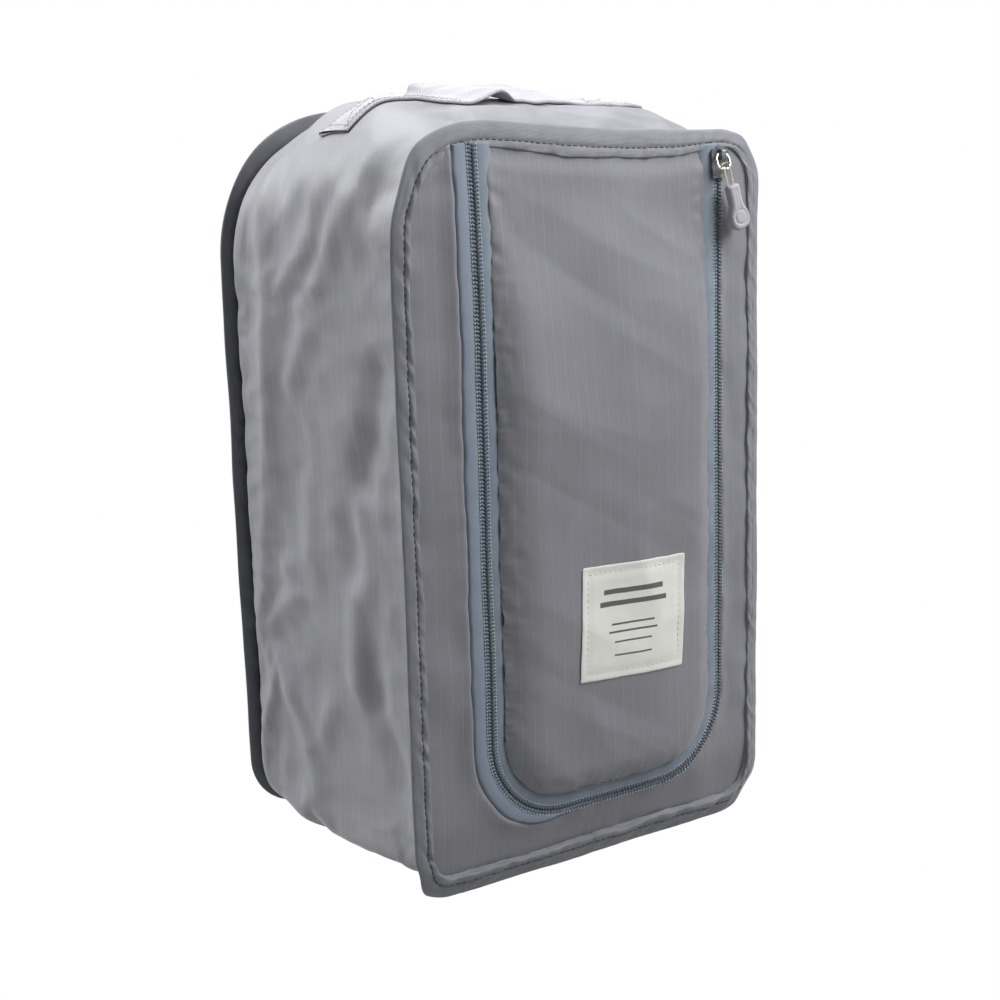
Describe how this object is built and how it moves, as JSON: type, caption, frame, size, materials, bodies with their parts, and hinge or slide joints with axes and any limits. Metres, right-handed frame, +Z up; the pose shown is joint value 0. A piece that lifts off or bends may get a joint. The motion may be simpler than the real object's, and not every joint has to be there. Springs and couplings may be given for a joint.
{
  "type": "shoe bag",
  "caption": "Upright zipped travel shoe bag: boxy cloth body with bound seams, U-shaped zip flap, label, slider with rubber pull and a webbing top handle.",
  "frame": {"origin": "on the standing plane under the middle of the whole part's box", "axes": "+Z up, -Y out of the zipped front, +X to the right seen from the front"},
  "size_m": [0.202, 0.157, 0.3417],
  "materials": {
    "cloth": "coated ripstop, satin",
    "binding": "woven tape, satin",
    "zip_tape": "twill tape",
    "coil": "satin nylon",
    "webbing": "twill webbing",
    "mesh": "open mesh",
    "elastic": "ribbed elastic",
    "label": "woven cotton",
    "metal": "plated zinc alloy",
    "rubber": "moulded, matt"
  },
  "bodies": {
    "bag": {"back_panel": "cloth", "gusset": "cloth", "gusset_front_hem": "cloth", "gusset_back_hem": "cloth", "front_surround": "cloth", "flap_head": "cloth", "front_binding": "binding", "back_binding": "binding", "zip_tape_surround": "zip_tape", "zip_tape_head_ends": "zip_tape", "zip_coil_surround": "coil", "zip_coil_head_ends": "coil", "handle_strap": "webbing", "divider_mesh": "mesh", "divider_elastic": "elastic"},
    "flap": {"flap_panel": "cloth", "zip_tape_flap": "zip_tape", "zip_coil_flap": "coil", "label": "label"},
    "slider": {"slider_body": "metal", "slider_bridge": "metal"},
    "ring": {"pull_ring": "metal"},
    "pull": {"pull_link": "metal", "pull_tab": "rubber"}
  },
  "joints": [
    {"name": "flap_fold", "type": "hinge", "parent": "bag", "child": "flap", "pos_m": [0.007, -0.07069, 0.29], "axis": [-1, 0, 0], "range_deg": [0, 130]},
    {"name": "slider_travel", "type": "slide", "parent": "bag", "child": "slider", "axis": [0, 0, -1], "range_m": [0, 0.23], "deforming": ["zip_coil_surround", "zip_coil_flap", "zip_coil_head_ends"]},
    {"name": "ring_swivel", "type": "hinge", "parent": "slider", "child": "ring", "pos_m": [0.071, -0.07239, 0.314], "axis": [-1, 0, 0], "range_deg": [0, 120]},
    {"name": "pull_swing", "type": "hinge", "parent": "ring", "child": "pull", "pos_m": [0.071, -0.07471, 0.30761], "axis": [-1, 0, 0], "range_deg": [0, 50]}
  ]
}
